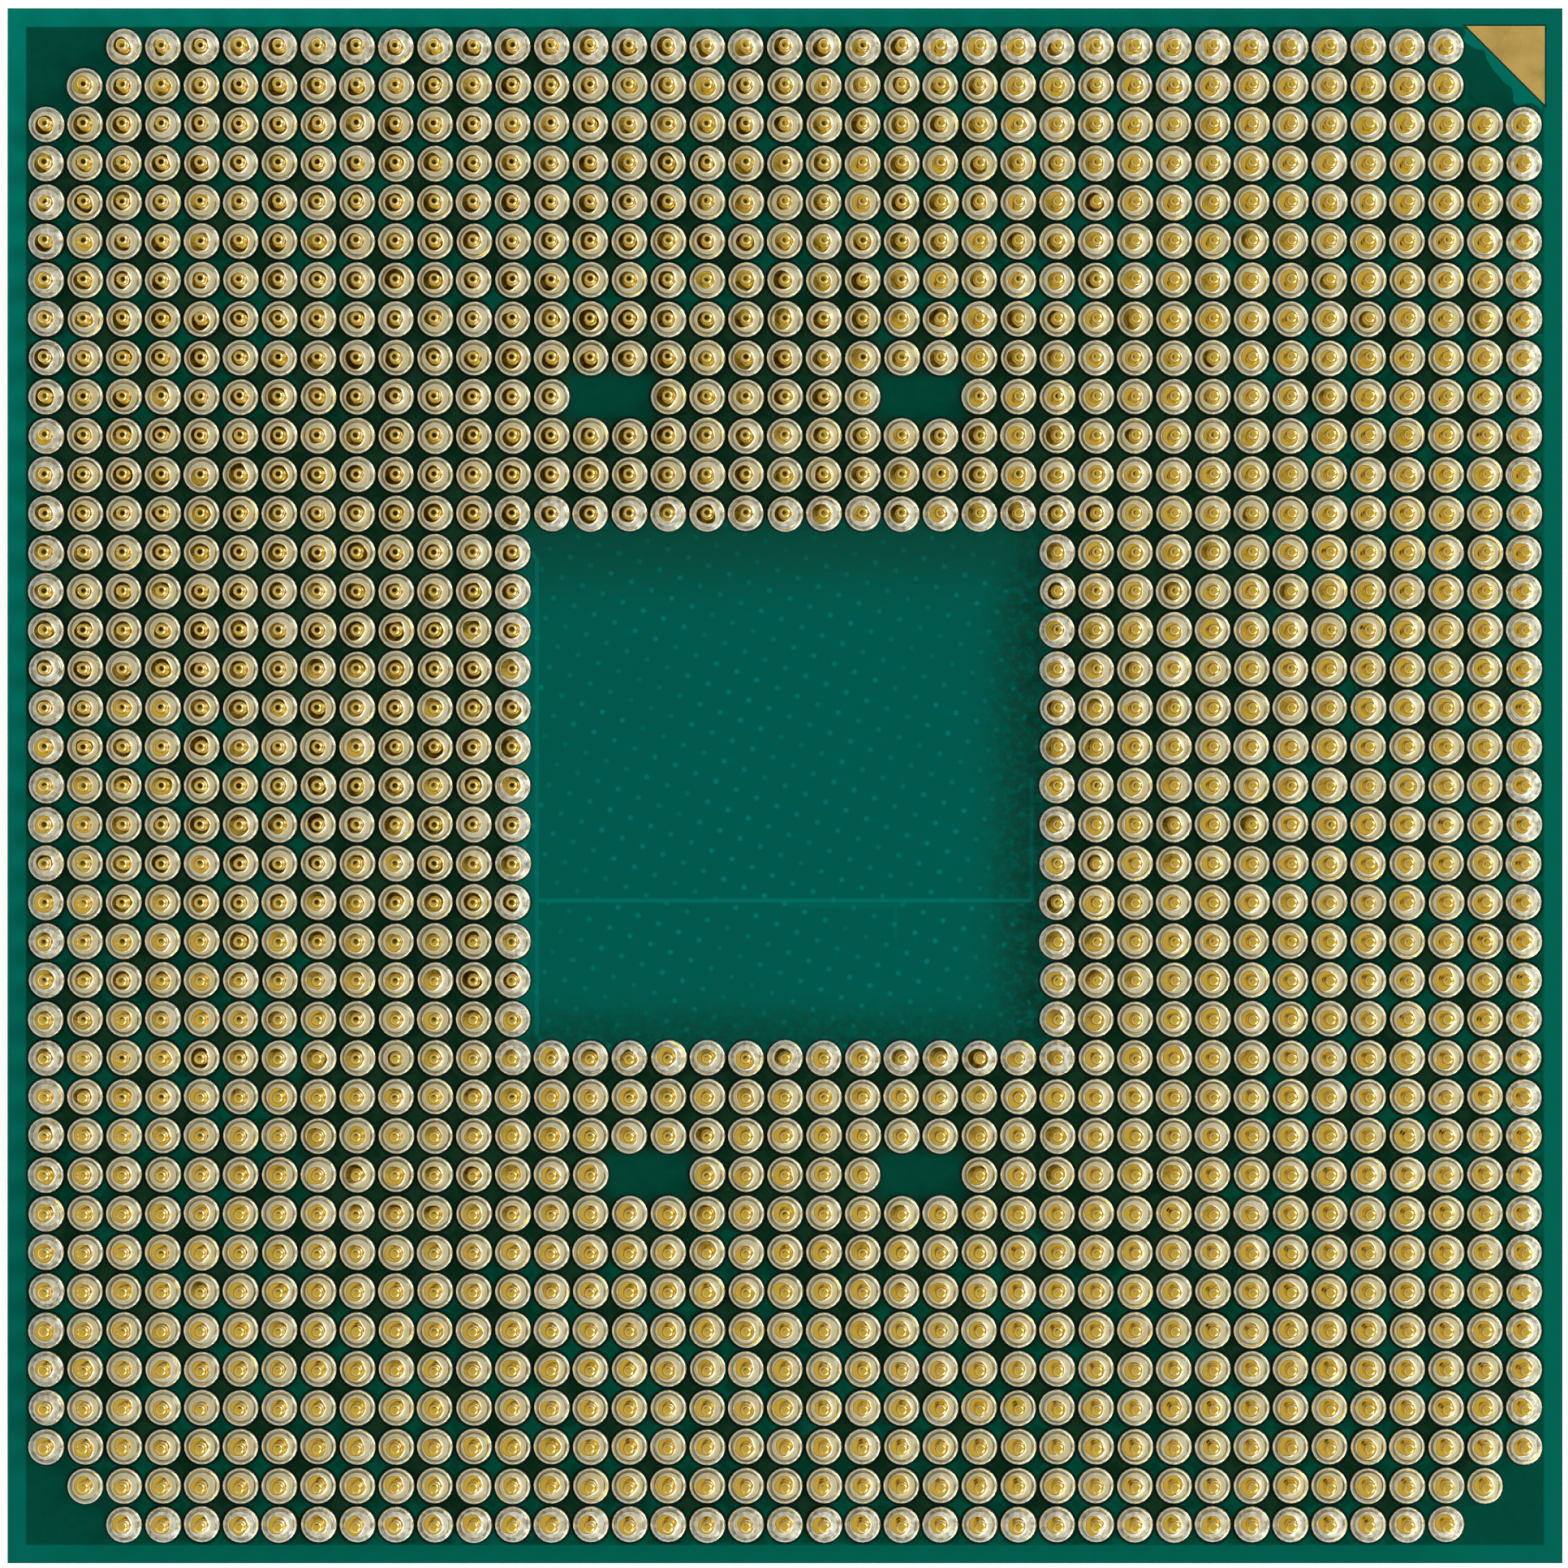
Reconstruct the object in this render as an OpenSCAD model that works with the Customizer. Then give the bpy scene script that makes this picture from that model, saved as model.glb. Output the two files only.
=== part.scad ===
// Desktop processor in a square pin-grid-array package.
// It lies on the outer face of its heat spreader, so that face is at z = 0 and the pins point up.
// The origin is the middle of that face. The pin-one corner is at +X +Y.

/* [Package] */
// Side of the square substrate
package_w = 40; // [40:0.05:41]
// Thickness of the substrate's glass-fibre core
core_t = 0.77; // [0.4:0.01:1.2]
// Thickness of the build-up insulation on each side of the core
buildup_t = 0.12; // [0.08:0.01:0.3]
// Thickness of the copper plane under each solder mask
copper_t = 0.03; // [0.02:0.005:0.05]
// Thickness of the solder mask over the copper
mask_t = 0.03; // [0.02:0.005:0.05]
// Strip along each edge that the copper plane leaves free
copper_margin = 0.48; // [0.4:0.02:0.5]
// Width of the gaps that split the copper plane
split_w = 0.1; // [0.06:0.01:0.16]

/* [Pins] */
// Distance from one pin to the next
pitch = 1; // [0.98:0.005:1]
// Diameter of a pin's shaft
pin_d = 0.3; // [0.26:0.01:0.34]
// Height of a pin's tip above the solder mask
pin_h = 1.4; // [1:0.05:2]
// Chamfer around a pin's tip
tip_chamfer = 0.05; // [0.03:0.01:0.08]
// Diameter of the flat head that a pin is soldered down by
head_d = 0.69; // [0.6:0.01:0.72]
// Thickness of that head
head_t = 0.12; // [0.08:0.01:0.16]
// Outer diameter of a solder joint
joint_d = 0.91; // [0.84:0.01:0.94]
// Thickness of the solder under a head
joint_t = 0.04; // [0.03:0.01:0.06]

/* [Heat spreader] */
// Side of the flange that is glued to the substrate
flange_w = 37.6; // [37:0.1:38.2]
// Side of the raised square that the cooler presses on
plateau_w = 33.4; // [32.5:0.1:34]
// Height of the raised square above the flange
plateau_h = 1.1; // [0.8:0.1:1.4]
// Whole height of the heat spreader
lid_h = 3.2; // [2.9:0.1:3.6]
// Side of the square cavity over the dies
cavity_w = 31; // [30.5:0.1:31.4]
// Depth of the cavity
cavity_h = 1; // [0.95:0.01:1.1]
// Thickness of the adhesive under the flange
sealant_t = 0.12; // [0.08:0.01:0.16]

/* [Dies] */
// Sides of the compute die
compute_die_size = [10.4, 7.2]; // [6:0.1:11]
// Sides of the input and output die
io_die_size = [13.2, 9.4]; // [6:0.1:14]
// Thickness of both dies
die_t = 0.78; // [0.6:0.01:0.8]
// Height of the solder bumps under the dies
bump_h = 0.08; // [0.06:0.01:0.1]

/* [Capacitors] */
// Length, width and height of a capacitor's body
capacitor_size = [0.6, 0.5, 0.5]; // [0.4:0.05:0.7]
// Length of the metal cap on each end of a capacitor
terminal_l = 0.2; // [0.15:0.01:0.25]

/* [Hidden] */
$fn = 48;
// Sites along each side of the pin grid, and the site in the middle of a row
site_count = 39;
middle = (site_count - 1) / 2;
// The window without pins covers the sites within this many steps of the middle
window_steps = 6;
// Keying sites that are left empty: the two rows' distances from the middle, and the columns in each
key_row_steps = 10;
upper_key_columns = [14, 15, 22, 23];
lower_key_columns = [15, 16, 22, 23];
// Column and row of the pin nearest to each corner
corner_places = [[1, 1], [36, 0], [1, 37], [37, 37]];
// Rows of pins that one node holds
rows_per_band = 3;
bands = site_count / rows_per_band;

lid_corner_r = 1.2;
plateau_corner_r = 1.6;
cavity_corner_r = 2;
lid_chamfer = 0.25;
sealant_w = 2.4;
sealant_vent_w = 3;

// Heights of the layers, from the heat spreader's outer face upwards
lid_mask_z = lid_h + sealant_t;
lid_buildup_z = lid_mask_z + mask_t + copper_t;
core_z = lid_buildup_z + buildup_t;
pin_buildup_z = core_z + core_t;
pin_copper_z = pin_buildup_z + buildup_t;
pin_mask_top = pin_copper_z + copper_t + mask_t;

// The dies hang from the substrate towards the cavity's floor
die_top = lid_mask_z - bump_h;
die_bottom = die_top - die_t;
cavity_floor = lid_h - cavity_h;
compute_die_at = [1.5, 7.6];
io_die_at = [-0.6, -4.6];
underfill_reach = 0.5;
underfill_climb = 0.4;
bump_d = 0.34;
bump_pitch = 0.8;

// Pin-one markers: bare gilded triangles at the +X +Y corner, one on each side
marker_leg = 2.02;
marker_inset = 0.46;
marker_clearance = 0.55;
lid_marker_leg = 1.3;

// Solder joint: how its ring rises around the pin's head
ring_crest_r = 0.415;
ring_crest_h = 0.15;
ring_foot_h = 0.03;

// Gaps in the copper plane: they cross the window at these places
split_y = -2.95;
left_split_x = -6.4;
right_split_x = 6.4;
bay_x = [0.1, 2.9];
bay_depth = 1;

plastic_green = [0.02, 0.34, 0.28];
gold = [0.72, 0.58, 0.3];
tin = [0.75, 0.73, 0.62];
copper = [0.72, 0.45, 0.3];

band_numbers = [1 : bands];
function two_digits(n) = str(n < 10 ? "0" : "", n);
function pin_node(band) = str("pins_band_", two_digits(band));
function joint_node(band) = str("solder_joints_band_", two_digits(band));

// ---- Shared shapes ----

// A square with round corners, as a flat outline
module rounded_square(side, corner_r) {
    straight = side - 2 * corner_r;
    square([side, straight], center = true);
    square([straight, side], center = true);
    for (x = [-1, 1], y = [-1, 1])
        translate([x, y] * straight / 2) circle(corner_r);
}

// A plate with its lowest face at the given height
module plate_at(z, thickness) {
    translate([0, 0, z]) linear_extrude(thickness) children();
}

// A right triangle with its right angle at the +X +Y corner of the package
module corner_triangle(leg, inset) {
    corner = package_w / 2 - inset;
    polygon([[corner, corner], [corner - leg, corner], [corner, corner - leg]]);
}

// A block whose sides lean in towards z = 0 by the lid's chamfer, along one direction only
module chamfered_bar(side, height, turn) {
    half = side / 2;
    outline = [
        [-half + lid_chamfer, 0], [half - lid_chamfer, 0], [half, lid_chamfer],
        [half, height], [-half, height], [-half, lid_chamfer]
    ];
    rotate([0, 0, turn]) translate([0, side / 2, 0]) rotate([90, 0, 0])
        linear_extrude(side) polygon(outline);
}

// A rounded square block with a chamfer around its lower face
module chamfered_block(side, corner_r, height) {
    intersection() {
        linear_extrude(height) rounded_square(side, corner_r);
        chamfered_bar(side, height, 0);
        chamfered_bar(side, height, 90);
    }
}

// ---- Pin grid ----

// Steps from the middle of the grid, counted from the +Y edge's row 0 and the -X edge's column 0
function steps_from_middle(site) = site - middle;
function site_xy(column, row) = [steps_from_middle(column), -steps_from_middle(row)] * pitch;

function in_window(column, row) =
    abs(steps_from_middle(column)) <= window_steps && abs(steps_from_middle(row)) <= window_steps;

// The -X and lower corners leave three sites empty, and the pin-one corner leaves four
function in_bare_corner(column, row) =
    let (
        from_left = column,
        from_right = site_count - 1 - column,
        from_top = row,
        from_bottom = site_count - 1 - row
    )
    from_left + from_top <= 1 || from_left + from_bottom <= 1 || from_right + from_bottom <= 1
        || (from_right <= 1 && from_top <= 1);

function is_key(column, row) =
    (row == middle - key_row_steps && len(search(column, upper_key_columns)) > 0)
        || (row == middle + key_row_steps && len(search(column, lower_key_columns)) > 0);

function has_pin(column, row) =
    !in_window(column, row) && !in_bare_corner(column, row) && !is_key(column, row);

// One pin near each corner, which a flat plate laid on the tips touches first
function is_corner_pin(column, row) =
    len([for (place = corner_places) if (place == [column, row]) place]) > 0;

function band_rows(band) = [(band - 1) * rows_per_band : band * rows_per_band - 1];
function sites(rows, corner) = [
    for (row = rows, column = [0 : site_count - 1])
        if (has_pin(column, row) && is_corner_pin(column, row) == corner) [column, row]
];

// One pin with its soldering head, standing on the solder under the head
module pin() {
    shaft_r = pin_d / 2;
    rotate_extrude() polygon([
        [0, joint_t], [head_d / 2, joint_t], [head_d / 2, joint_t + head_t],
        [shaft_r, joint_t + head_t], [shaft_r, pin_h - tip_chamfer],
        [shaft_r - tip_chamfer, pin_h], [0, pin_h]
    ]);
}

// One solder joint: a shallow cup that holds the head, with a ring standing around it
module solder_joint() {
    rotate_extrude() polygon([
        [0, 0], [joint_d / 2, 0], [joint_d / 2, ring_foot_h], [ring_crest_r, ring_crest_h],
        [head_d / 2, joint_t + head_t - 0.03], [head_d / 2, joint_t], [0, joint_t]
    ]);
}

module at_sites(places) {
    for (place = places)
        translate(concat(site_xy(place[0], place[1]), [pin_mask_top])) children();
}

module pins_band(band) {
    color(gold) at_sites(sites(band_rows(band), false)) pin();
}

module corner_pins() {
    color(gold) at_sites(sites([0 : site_count - 1], true)) pin();
}

module solder_joints_band(band) {
    color(tin) at_sites(concat(sites(band_rows(band), false), sites(band_rows(band), true)))
        solder_joint();
}

// ---- Substrate ----

module package_outline() {
    square(package_w, center = true);
}

// The plane of copper: it stops short of the edges and of the pin-one marker
module copper_outline(leg) {
    difference() {
        square(package_w - 2 * copper_margin, center = true);
        corner_triangle(leg + 2 * marker_clearance, 0);
    }
}

// Gaps in the pin-side plane: one across the window, one along each side of it, and a small bay
module split_lines() {
    reach = right_split_x - left_split_x + split_w;
    window_top = pitch * (window_steps + 0.5);
    translate([left_split_x - split_w / 2, split_y - split_w / 2]) square([reach, split_w]);
    translate([left_split_x - split_w / 2, -window_top]) square([split_w, 2 * window_top]);
    translate([right_split_x - split_w / 2, split_y]) square([split_w, -split_y]);
    bay_w = bay_x[1] - bay_x[0];
    translate([bay_x[0], split_y - bay_depth]) difference() {
        square([bay_w, bay_depth]);
        translate([split_w, split_w]) square([bay_w - 2 * split_w, bay_depth]);
    }
}

module pin_side_copper_outline() {
    difference() {
        copper_outline(marker_leg);
        split_lines();
    }
}

module substrate_core() {
    color("darkkhaki") plate_at(core_z, core_t) package_outline();
}

module pin_side_buildup() {
    color("olivedrab") plate_at(pin_buildup_z, buildup_t) package_outline();
}

module lid_side_buildup() {
    color("olivedrab") plate_at(lid_buildup_z, buildup_t) package_outline();
}

module pin_side_copper() {
    color(copper) plate_at(pin_copper_z, copper_t) pin_side_copper_outline();
}

module lid_side_copper() {
    color(copper) plate_at(lid_buildup_z - copper_t, copper_t) copper_outline(lid_marker_leg);
}

// A solder mask fills the gaps in its copper plane and leaves the marker bare
module pin_side_mask() {
    color(plastic_green) difference() {
        plate_at(pin_copper_z, copper_t + mask_t) package_outline();
        pin_side_copper();
        pin_one_marker();
    }
}

module lid_side_mask() {
    color(plastic_green) difference() {
        plate_at(lid_mask_z, copper_t + mask_t) package_outline();
        lid_side_copper();
        lid_side_marker();
    }
}

module pin_one_marker() {
    color(gold) plate_at(pin_copper_z, copper_t + mask_t) corner_triangle(marker_leg, marker_inset);
}

module lid_side_marker() {
    color(gold) plate_at(lid_mask_z, copper_t + mask_t) corner_triangle(lid_marker_leg, marker_inset / 2);
}

// ---- Heat spreader ----

module heat_spreader() {
    color("silver") difference() {
        union() {
            chamfered_block(plateau_w, plateau_corner_r, plateau_h);
            translate([0, 0, plateau_h])
                chamfered_block(flange_w, lid_corner_r, lid_h - plateau_h);
        }
        plate_at(cavity_floor, cavity_h + 1) rounded_square(cavity_w, cavity_corner_r);
        lid_corner_cut();
    }
}

// The flange's pin-one corner is cut off, so that the marker on the substrate shows
module lid_corner_cut() {
    cut = 2.2;
    corner = flange_w / 2;
    plate_at(plateau_h, lid_h)
        polygon([[corner + 1, corner + 1], [corner - cut, corner + 1], [corner + 1, corner - cut]]);
}

// A bead of adhesive around the flange, open at the vent in the middle of the -Y side
module lid_sealant() {
    color("dimgray") difference() {
        plate_at(lid_h, sealant_t) difference() {
            rounded_square(flange_w - 0.8, lid_corner_r);
            rounded_square(flange_w - 0.8 - 2 * sealant_w, cavity_corner_r);
            translate([0, -flange_w / 2]) square([sealant_vent_w, 3 * sealant_w], center = true);
        }
        translate([0, 0, lid_h - plateau_h - 1]) lid_corner_cut();
    }
}

// ---- Dies ----

module die_plate(size, place, z, thickness) {
    translate([place.x, place.y, z]) linear_extrude(thickness) square(size, center = true);
}

module compute_die() {
    color("slategray") die_plate(compute_die_size, compute_die_at, die_bottom, die_t);
}

module io_die() {
    color("slategray") die_plate(io_die_size, io_die_at, die_bottom, die_t);
}

module compute_thermal_solder() {
    color("lightgray")
        die_plate(compute_die_size, compute_die_at, cavity_floor, die_bottom - cavity_floor);
}

module io_thermal_solder() {
    color("lightgray") die_plate(io_die_size, io_die_at, cavity_floor, die_bottom - cavity_floor);
}

// A regular field of solder bumps that fits under a die
module bump_field(size, place) {
    columns = floor((size.x - bump_pitch) / bump_pitch);
    rows = floor((size.y - bump_pitch) / bump_pitch);
    for (column = [0 : columns], row = [0 : rows])
        translate([
            place.x + (column - columns / 2) * bump_pitch,
            place.y + (row - rows / 2) * bump_pitch,
            die_top
        ]) cylinder(h = bump_h, d = bump_d);
}

module compute_die_bumps() {
    color("lightgray") bump_field(compute_die_size, compute_die_at);
}

module io_die_bumps() {
    color("lightgray") bump_field(io_die_size, io_die_at);
}

// Epoxy between the bumps, with a rim that climbs the sides of the die
module underfill(size, place) {
    outer = [size.x + 2 * underfill_reach, size.y + 2 * underfill_reach];
    difference() {
        die_plate(outer, place, die_top - underfill_climb, bump_h + underfill_climb);
        die_plate(size, place, die_bottom, die_t);
        bump_field(size, place);
    }
}

module compute_underfill() {
    color("darkslategray") underfill(compute_die_size, compute_die_at);
}

module io_underfill() {
    color("darkslategray") underfill(io_die_size, io_die_at);
}

// ---- Capacitors ----

// Rows of capacitors beside the dies: [first place, step to the next, how many, angle]
capacitor_rows = [
    [[-8.5, 12.6], [1.5, 0], 12, 90],
    [[8.6, 4.4], [0, 1.3], 6, 0],
    [[-5.8, 4.4], [0, 1.3], 6, 0],
    [[-6.2, -11.2], [1.4, 0], 9, 90],
    [[8.2, -8.6], [0, 1.4], 7, 0],
    [[-9.6, -8.6], [0, 1.4], 7, 0]
];

module at_capacitors() {
    for (line = capacitor_rows, i = [0 : line[2] - 1])
        translate([line[0].x + i * line[1].x, line[0].y + i * line[1].y, lid_mask_z])
            rotate([0, 0, line[3]]) mirror([0, 0, 1]) children();
}

// Seen from the substrate, a capacitor stands on two thin pads of solder
solder_pad_t = 0.03;

module capacitor_bodies() {
    color("tan") at_capacitors()
        translate([0, 0, solder_pad_t + capacitor_size.z / 2]) cube(capacitor_size, center = true);
}

module capacitor_terminals() {
    end_x = (capacitor_size.x + terminal_l) / 2;
    color("silver") at_capacitors()
        for (side = [-1, 1])
            translate([side * end_x, 0, solder_pad_t + capacitor_size.z / 2])
                cube([terminal_l, capacitor_size.y, capacitor_size.z], center = true);
}

// Each pad has a wedge of solder that climbs the terminal's end
module capacitor_solder() {
    inner_x = capacitor_size.x / 2;
    outer_x = inner_x + terminal_l;
    wedge = 0.18;
    color("lightgray") at_capacitors()
        for (side = [0, 1])
            mirror([side, 0, 0]) translate([0, capacitor_size.y / 2, 0]) rotate([90, 0, 0])
                linear_extrude(capacitor_size.y)
                    polygon([
                        [inner_x, 0], [outer_x + wedge, 0], [outer_x, solder_pad_t + wedge],
                        [outer_x, solder_pad_t], [inner_x, solder_pad_t]
                    ]);
}

// ---- The assembly ----

heat_spreader();
lid_sealant();
compute_die();
io_die();
compute_thermal_solder();
io_thermal_solder();
compute_die_bumps();
io_die_bumps();
compute_underfill();
io_underfill();
capacitor_bodies();
capacitor_terminals();
capacitor_solder();
lid_side_mask();
lid_side_copper();
lid_side_buildup();
substrate_core();
pin_side_buildup();
pin_side_copper();
pin_side_mask();
pin_one_marker();
lid_side_marker();
corner_pins();
for (band = band_numbers) {
    pins_band(band);
    solder_joints_band(band);
}
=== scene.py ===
import math

import bpy
import numpy as np
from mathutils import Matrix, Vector


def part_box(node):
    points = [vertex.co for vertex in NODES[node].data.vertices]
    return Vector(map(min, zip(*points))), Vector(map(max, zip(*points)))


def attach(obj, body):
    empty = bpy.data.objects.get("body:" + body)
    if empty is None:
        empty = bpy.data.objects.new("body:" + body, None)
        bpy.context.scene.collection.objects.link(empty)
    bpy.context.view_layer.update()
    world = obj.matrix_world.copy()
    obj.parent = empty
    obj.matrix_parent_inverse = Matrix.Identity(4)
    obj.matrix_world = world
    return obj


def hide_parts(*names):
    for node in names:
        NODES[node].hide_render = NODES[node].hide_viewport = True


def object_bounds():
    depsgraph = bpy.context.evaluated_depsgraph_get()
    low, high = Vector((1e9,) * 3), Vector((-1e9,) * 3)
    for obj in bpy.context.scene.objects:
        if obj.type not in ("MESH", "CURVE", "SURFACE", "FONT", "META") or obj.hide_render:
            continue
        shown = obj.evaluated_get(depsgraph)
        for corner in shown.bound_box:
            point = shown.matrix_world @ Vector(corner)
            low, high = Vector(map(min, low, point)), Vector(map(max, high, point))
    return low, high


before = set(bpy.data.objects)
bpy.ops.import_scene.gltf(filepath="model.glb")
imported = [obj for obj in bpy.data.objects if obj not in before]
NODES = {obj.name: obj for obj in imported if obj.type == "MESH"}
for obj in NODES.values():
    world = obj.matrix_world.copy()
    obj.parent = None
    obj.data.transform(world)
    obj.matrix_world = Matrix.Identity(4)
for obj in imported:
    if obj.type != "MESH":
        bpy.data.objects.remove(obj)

# Blender works in metres. The sizes of the small details are given in millimetres.
MM = 0.001


def corners(pair):
    """A box's two corners as plain lists of numbers."""
    return [[float(v) for v in corner] for corner in pair]


CAD_BOUNDS = corners(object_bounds())

# ---- The pin grid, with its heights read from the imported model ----

PITCH = 1.0
MASK_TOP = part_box("pin_side_mask")[1][2] / MM
TIP_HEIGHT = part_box("corner_pins")[1][2] / MM - MASK_TOP
SHAFT_R = 0.15
# Heights above the mask: the solder collar around each head, and the head's bare gold
COLLAR_H = 0.156
HEAD_H = 0.146
# A tip is nearly flat to this radius and rounds off over the rest, by this height
TIP_FLAT_R = 0.078
TIP_EDGE = 0.055
# The radii of a tip's rings, and how many of them, from the shaft in, are paler: partly rubbed by sockets,
# partly a painted sheen that whitens their highlights
TIP_RADII = (0.1492, 0.1465, 0.142, 0.135, 0.126, 0.114, 0.100, 0.086, 0.070, 0.045, 0.020)
WORN_SHEEN_RINGS = 7
# The dome lowers a tip by this times the fourth power of the radius
DOME = 4.5
# The usual tilts of heads and tips, and the slope at which a head falls away from its shaft
HEAD_TILT = 0.006
TIP_TILT = 0.005
HEAD_SLOPE = 0.010
# The bare gold reaches at least this far beyond the shaft, and at most to this radius
PATCH_LEAST = 0.012
PATCH_MOST = 0.305
BANDS = sorted(name[-2:] for name in NODES if name.startswith("pins_band_"))
SIDES = 24
TURN = np.arange(SIDES) * 2 * np.pi / SIDES
RANDOM_SEED = 20


def sites_of(node):
    """The grid places, in steps of the pitch, that a node's solids stand at."""
    mesh = NODES[node].data
    points = np.empty(len(mesh.vertices) * 3, np.float32)
    mesh.vertices.foreach_get("co", points)
    steps = np.round(points.reshape(-1, 3)[:, :2] / (MM * PITCH)).astype(int)
    return np.unique(steps, axis=0)


# ---- Colours, as linear red, green and blue ----

GOLD = (0.70, 0.452, 0.042)
GOLD_LIGHT = (0.76, 0.512, 0.064)
GOLD_DULL = (0.67, 0.435, 0.085)
GOLD_WORN_SHEEN = (0.82, 0.72, 0.44)

COLLAR_INSIDE = (0.55, 0.46, 0.20)
COLLAR = (0.53, 0.475, 0.240)
COLLAR_OUTSIDE = (0.57, 0.54, 0.335)
GROOVE_SIDE = (0.50, 0.53, 0.47)
GROOVE_SHADE = (0.07, 0.06, 0.03)
RING_INSIDE = (0.68, 0.75, 0.76)
RING = (0.76, 0.83, 0.82)
RING_OUTSIDE_SHADE = (0.42, 0.46, 0.38)
RING_FOOT_SHADE = (0.06, 0.08, 0.05)
SOLDER_CLOUD = (0.64, 0.63, 0.54)
SOLDER_SILVER = (0.76, 0.79, 0.77)
SOLDER_GREY = (0.38, 0.39, 0.36)
LIP_PALE = (0.80, 0.76, 0.60)

RIM_SHADOW_DARK = (0.003, 0.006, 0.002)
RIM_SHADOW_LIGHT = (0.005, 0.014, 0.006)

WINDOW_DARK = (0.0003, 0.074, 0.055)
WINDOW_LIGHT = (0.0003, 0.088, 0.068)
WINDOW_EDGE = (0.0030, 0.042, 0.026)
TEAL_DARK = (0.0004, 0.042, 0.024)
TEAL_LIGHT = (0.0004, 0.074, 0.048)
VIAS_DARK = (0.0030, 0.022, 0.010)
VIAS_LIGHT = (0.0085, 0.034, 0.016)
JOINT_SHADOW = (0.0030, 0.011, 0.004)
CLEAR_DARK = (0.0004, 0.040, 0.024)
CLEAR_LIGHT = (0.0006, 0.060, 0.042)
STRIP_DARK = (0.0004, 0.096, 0.070)
STRIP_LIGHT = (0.0005, 0.150, 0.116)
STRIP_CLOUD = (0.0004, 0.092, 0.062)
MASK_LOBE = (0.0004, 0.115, 0.085)
MARKER_EDGE_SHADOW = (0.003, 0.022, 0.014)
PLANE_HOLE = (0.0004, 0.140, 0.122)
PLANE_SPLIT = (0.0004, 0.150, 0.130)

MARKER_GOLD = (0.435, 0.295, 0.076)
MARKER_SMUDGE = (0.355, 0.235, 0.058)
MARKER_DARKER = (0.29, 0.20, 0.052)
MARKER_GRAIN = (0.25, 0.17, 0.05)

NICKEL_DARK = (0.36, 0.345, 0.325)
NICKEL_LIGHT = (0.46, 0.44, 0.415)


# ---- Meshes made of stacked rings ----

def wobble(random, count, size, lobes):
    """A smooth random swell around each of count rings, as an array of count by SIDES."""
    out = np.zeros((count, SIDES))
    for lobe in lobes:
        phase = random.uniform(0, 2 * np.pi, (count, 1))
        out += random.normal(0, size, (count, 1)) / lobe * np.cos(lobe * TURN + phase)
    return out


def rings_to_points(sites, rings, centres=None):
    """Ring points around each site, in metres. A ring is (radius, height), as arrays or numbers."""
    count = len(sites)
    points = np.zeros((count, len(rings), SIDES, 3))
    for index, (radius, height) in enumerate(rings):
        radius = np.broadcast_to(radius, (count, SIDES))
        height = np.broadcast_to(height, (count, SIDES))
        points[:, index, :, 0] = sites[:, :1] * PITCH + radius * np.cos(TURN)
        points[:, index, :, 1] = sites[:, 1:] * PITCH + radius * np.sin(TURN)
        points[:, index, :, 2] = MASK_TOP + height
        if centres is not None:
            points[:, index, :, :2] += centres[:, index, None, :]
    return points * MM


def ring_mesh(name, points, hollow=False, values=()):
    """One closed mesh of stacked rings per site. Hollow rings close on themselves, others get caps."""
    count, levels, sides, _ = points.shape
    this = np.arange(sides)
    following = (this + 1) % sides
    steps = levels if hollow else levels - 1
    quads = []
    for level in range(steps):
        above = (level + 1) % levels
        quads.append(np.stack([
            level * sides + this, level * sides + following,
            above * sides + following, above * sides + this
        ], axis=1))
    quads = np.concatenate(quads)
    base = (np.arange(count) * levels * sides)[:, None]
    loops = [(base + quads.ravel()[None]).ravel()]
    sizes = [np.full(count * len(quads), 4)]
    if not hollow:
        loops.append((base + this[::-1][None]).ravel())
        loops.append((base + (levels - 1) * sides + this[None]).ravel())
        sizes.append(np.full(2 * count, sides))
    loops = np.concatenate(loops).astype(np.int32)
    sizes = np.concatenate(sizes)
    starts = np.concatenate([[0], np.cumsum(sizes)[:-1]]).astype(np.int32)
    mesh = bpy.data.meshes.new(name)
    mesh.vertices.add(count * levels * sides)
    mesh.vertices.foreach_set("co", points.astype(np.float32).ravel())
    mesh.loops.add(len(loops))
    mesh.loops.foreach_set("vertex_index", loops)
    mesh.polygons.add(len(sizes))
    mesh.polygons.foreach_set("loop_start", starts)
    mesh.update(calc_edges=True)
    mesh.shade_smooth()
    for label, value in values:
        attribute = mesh.attributes.new(label, "FLOAT", "POINT")
        spread = np.broadcast_to(value, (count, levels, sides)).astype(np.float32)
        attribute.data.foreach_set("value", spread.ravel())
    piece = bpy.data.objects.new(name, mesh)
    bpy.context.scene.collection.objects.link(piece)
    return piece


def finish_piece(piece, slot, material, *replaced):
    """Gives a piece its body and material, and hides the CAD nodes that it stands for. The slot is not
    used.
    """
    piece.data.materials.append(material)
    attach(piece, "root")
    if replaced:
        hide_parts(*replaced)


# ---- Node materials ----

def add(tree, kind, inputs=None, **settings):
    """A new node, with its settings, and its inputs set to values or linked to sockets."""
    made = tree.nodes.new(kind)
    for key, value in settings.items():
        setattr(made, key, value)
    for key, value in (inputs or {}).items():
        if isinstance(value, bpy.types.NodeSocket):
            tree.links.new(value, made.inputs[key])
        else:
            made.inputs[key].default_value = value
    return made


def math_node(tree, operation, first, second=0.0, third=0.0):
    return add(tree, "ShaderNodeMath", {0: first, 1: second, 2: third}, operation=operation).outputs[0]


def product(tree, *factors):
    value = factors[0]
    for factor in factors[1:]:
        value = math_node(tree, "MULTIPLY", value, factor)
    return value


def inverse(tree, value):
    return math_node(tree, "SUBTRACT", 1.0, value)


def largest(tree, *values):
    value = values[0]
    for other in values[1:]:
        value = math_node(tree, "MAXIMUM", value, other)
    return value


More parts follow.
